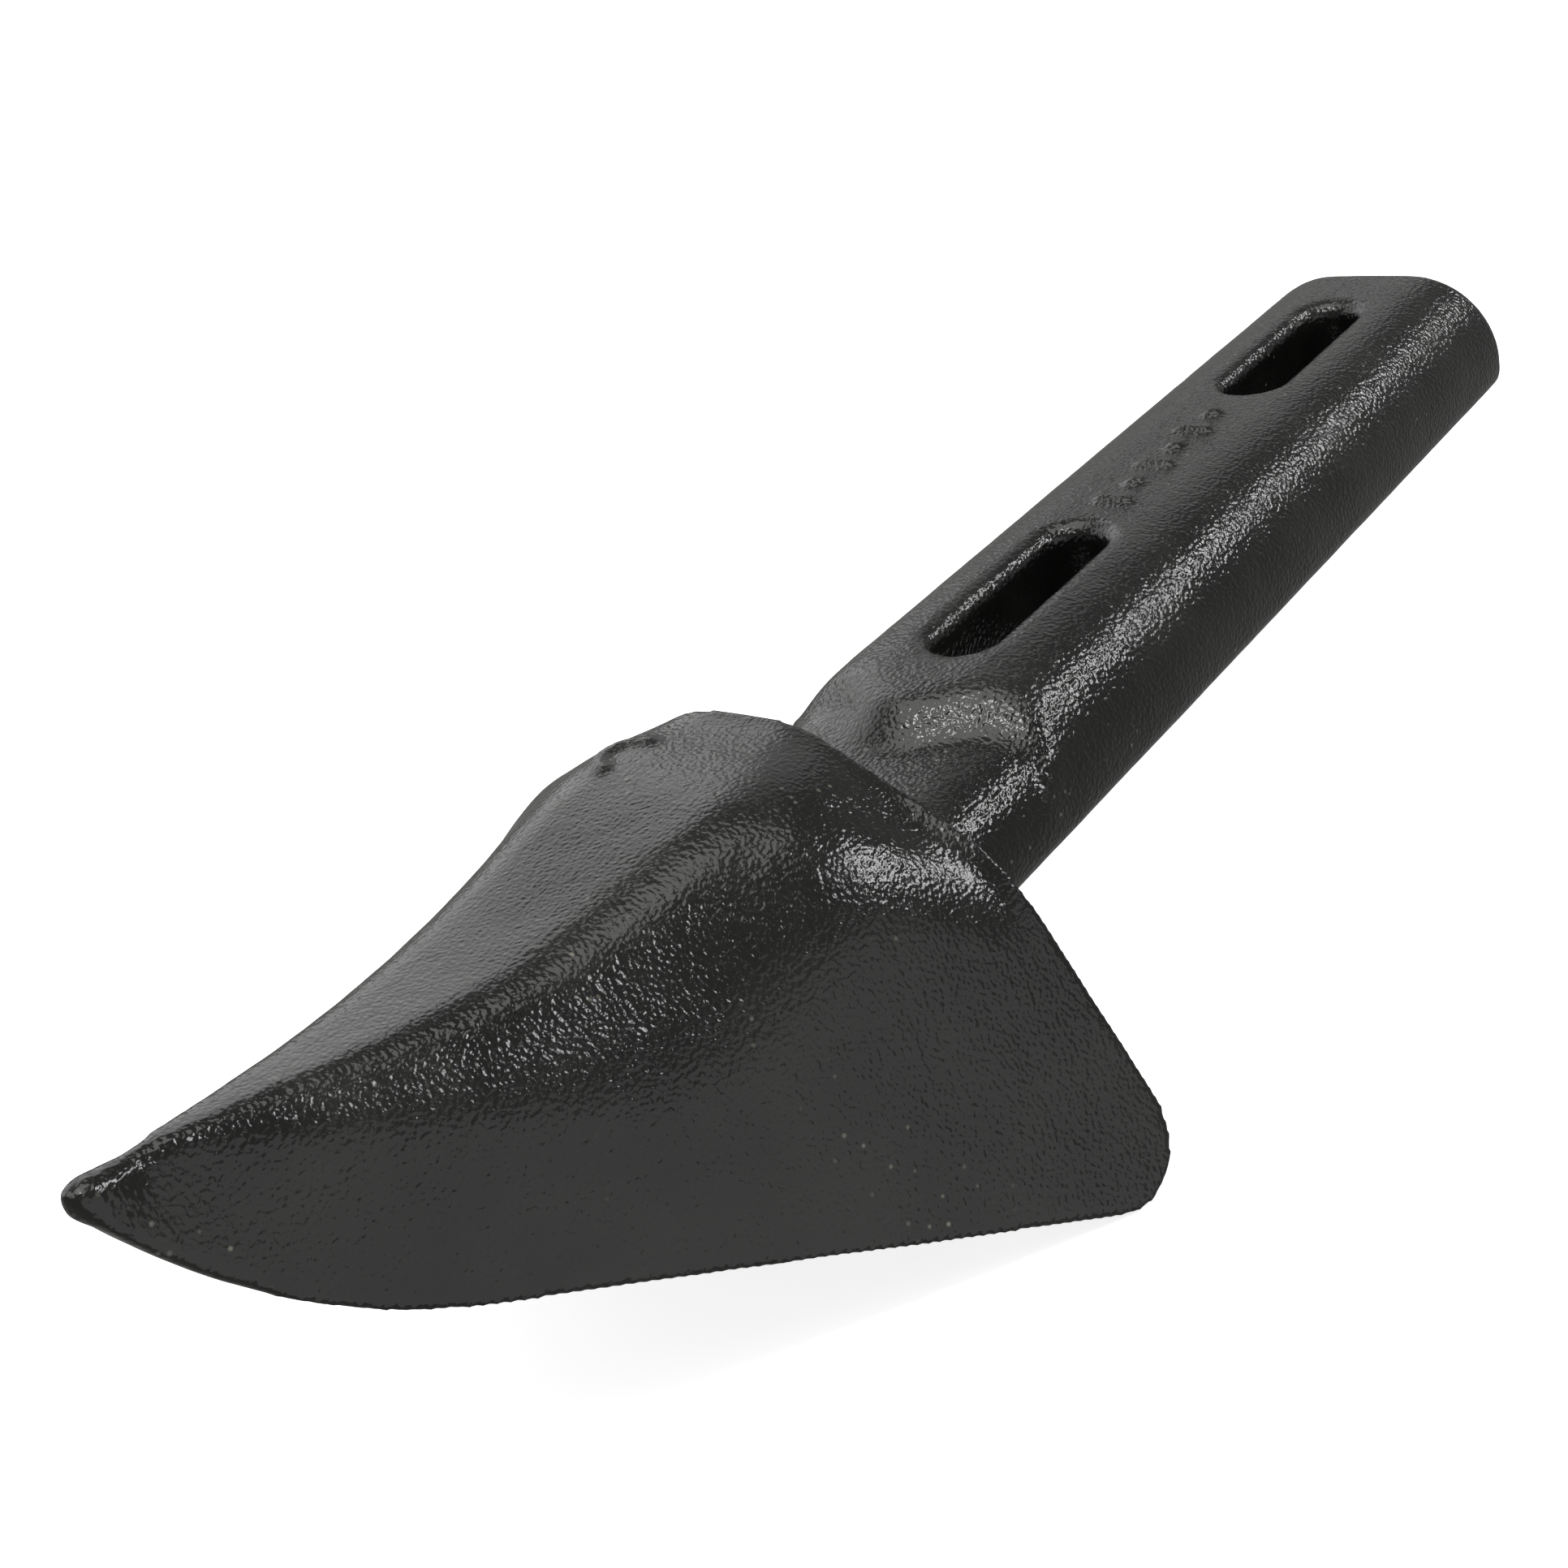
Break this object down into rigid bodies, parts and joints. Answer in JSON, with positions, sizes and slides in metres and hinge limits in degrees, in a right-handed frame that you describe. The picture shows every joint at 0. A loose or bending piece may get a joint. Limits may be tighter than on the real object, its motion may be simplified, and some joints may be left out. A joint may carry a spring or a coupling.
{
  "type": "bolt-on bucket tooth",
  "caption": "Hooded cast digging point held by a hidden screw on a slotted shank that bolts to a bucket's edge.",
  "frame": {"origin": "middle of the two-slot pattern, on the shank's flat mounting face", "axes": "+X along the shank to its free end, so the point aims along -X; +Y across the width; +Z away from the bucket, out of the slotted face"},
  "size_m": [0.322, 0.1156, 0.0684],
  "materials": {
    "shank_paint": "semi-gloss black paint over a sand-cast skin",
    "cap_paint": "semi-gloss black paint over a sand-cast skin",
    "fastener_steel": "black-oxide steel"
  },
  "bodies": {
    "root": {"shank": "shank_paint", "point_cap": "cap_paint", "retaining_bolt": "fastener_steel", "lock_washer": "fastener_steel", "flat_washer": "fastener_steel", "captive_nut": "fastener_steel"}
  },
  "joints": []
}
